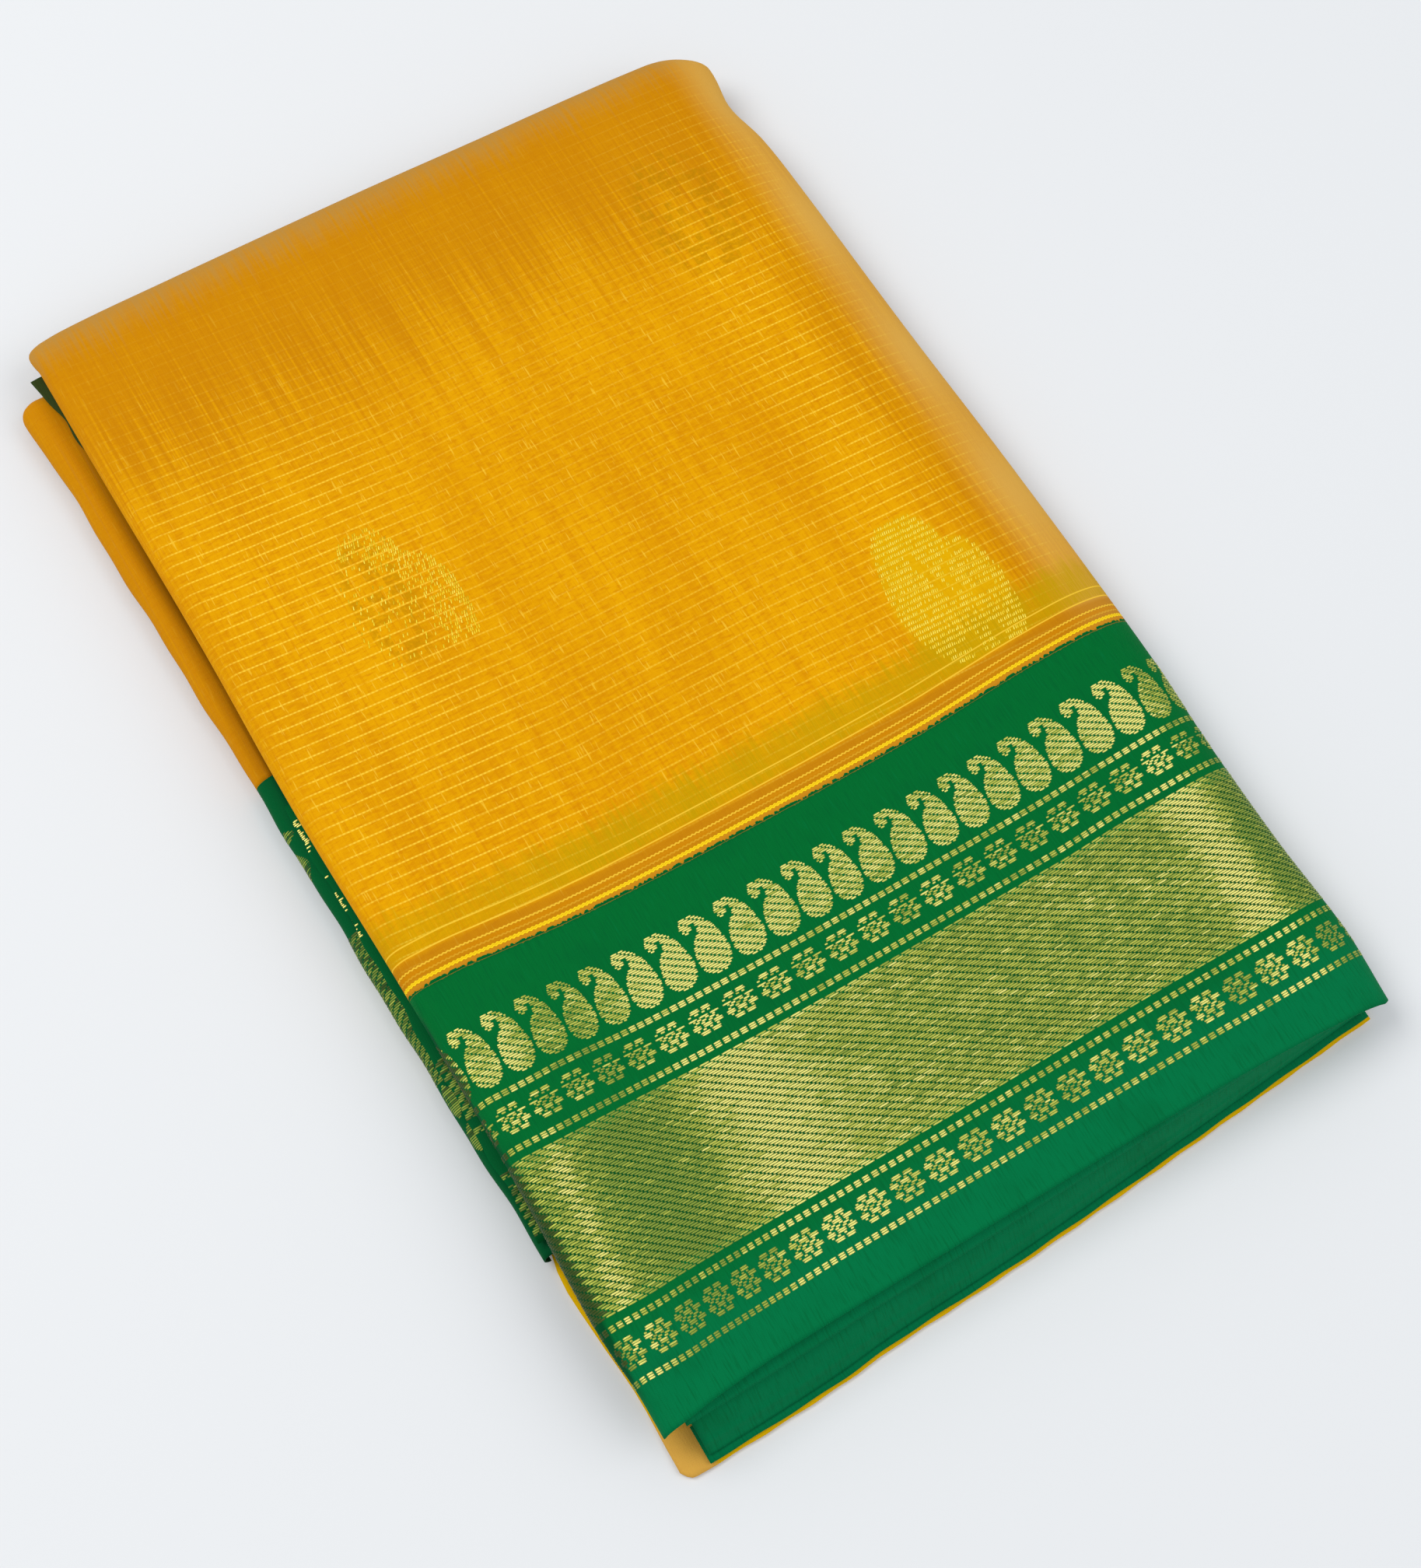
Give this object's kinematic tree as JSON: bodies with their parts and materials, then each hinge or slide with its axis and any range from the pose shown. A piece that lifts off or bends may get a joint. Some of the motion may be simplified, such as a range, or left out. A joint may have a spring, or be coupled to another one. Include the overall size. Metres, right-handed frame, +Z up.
{
  "type": "folded saree",
  "caption": "Folded saree lying flat: mustard body cloth and a wide green border woven with gold motifs, in a low packet with its layers showing at the edges",
  "frame": {"origin": "middle of the underside, on the surface that the packet lies on", "axes": "+X runs along the border towards the rounded fold, +Y from the front selvedge to the folds at the back, +Z up"},
  "size_m": [0.25, 0.3948, 0.021],
  "materials": {
    "body_cloth": "thin silk cotton weave, soft sheen",
    "border_cloth": "thin silk cotton weave with metallic gold weft motifs",
    "inner_layers": "folded cloth edges, matt"
  },
  "bodies": {
    "root": {"upper_fold_body": "body_cloth", "upper_fold_border": "border_cloth", "second_ply_border": "border_cloth", "third_ply_border": "border_cloth", "fourth_ply_border": "border_cloth", "bottom_ply_body": "body_cloth", "lower_fold_body": "body_cloth", "lower_fold_border": "border_cloth", "inner_ply_front_border": "border_cloth", "inner_ply_back_border": "border_cloth", "hidden_layers": "inner_layers"}
  },
  "joints": []
}
